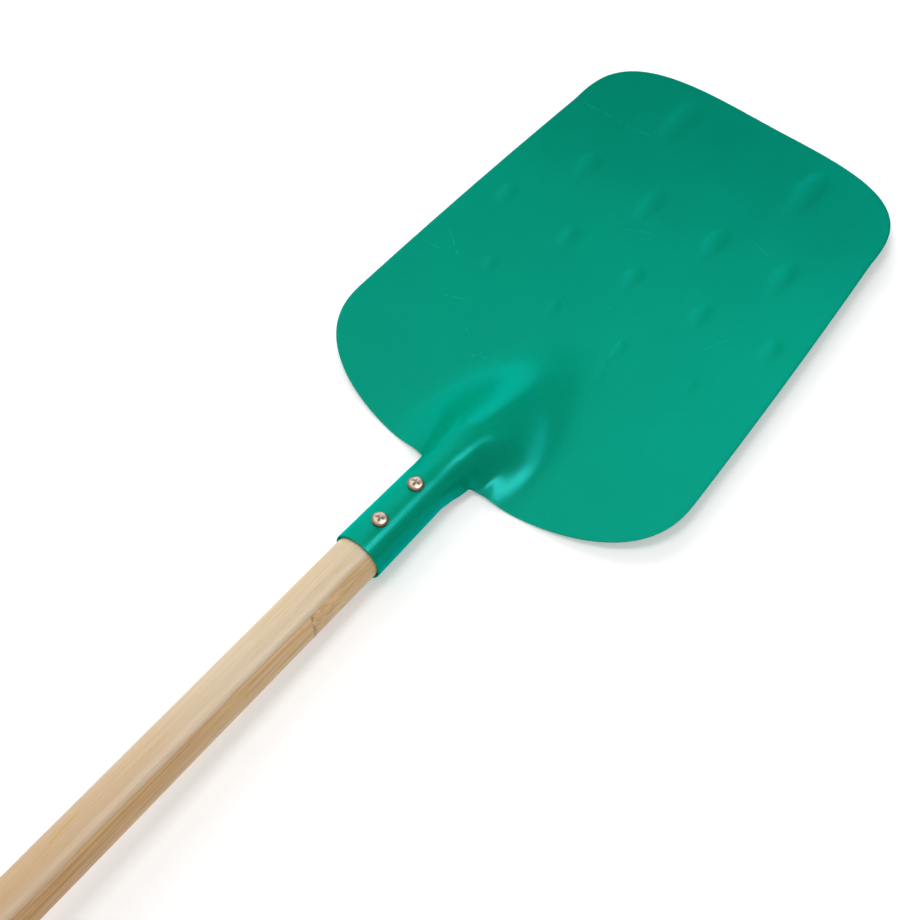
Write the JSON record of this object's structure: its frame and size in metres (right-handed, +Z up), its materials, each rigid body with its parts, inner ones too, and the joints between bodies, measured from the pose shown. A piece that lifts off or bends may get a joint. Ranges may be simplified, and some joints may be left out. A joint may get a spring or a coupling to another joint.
{
  "type": "toy garden spade",
  "caption": "Child's garden spade: dished sheet-steel blade with small raised drops, its frog rolled into a socket that is screwed to a straight round bamboo handle.",
  "frame": {"origin": "centre of the bounding box in X and Y, at the floor the spade lies on", "axes": "+Y from the handle's end to the blade's tip, +Z up out of the blade's dished front, X across the blade"},
  "size_m": [0.1818, 0.7198, 0.049],
  "materials": {
    "green_enamel": "gloss",
    "laminated_bamboo": "satin varnish",
    "nickel_plated_steel": "bright plating"
  },
  "bodies": {
    "root": {"blade_and_socket": "green_enamel", "handle": "laminated_bamboo", "socket_screw_outer": "nickel_plated_steel", "socket_screw_inner": "nickel_plated_steel"}
  },
  "joints": []
}
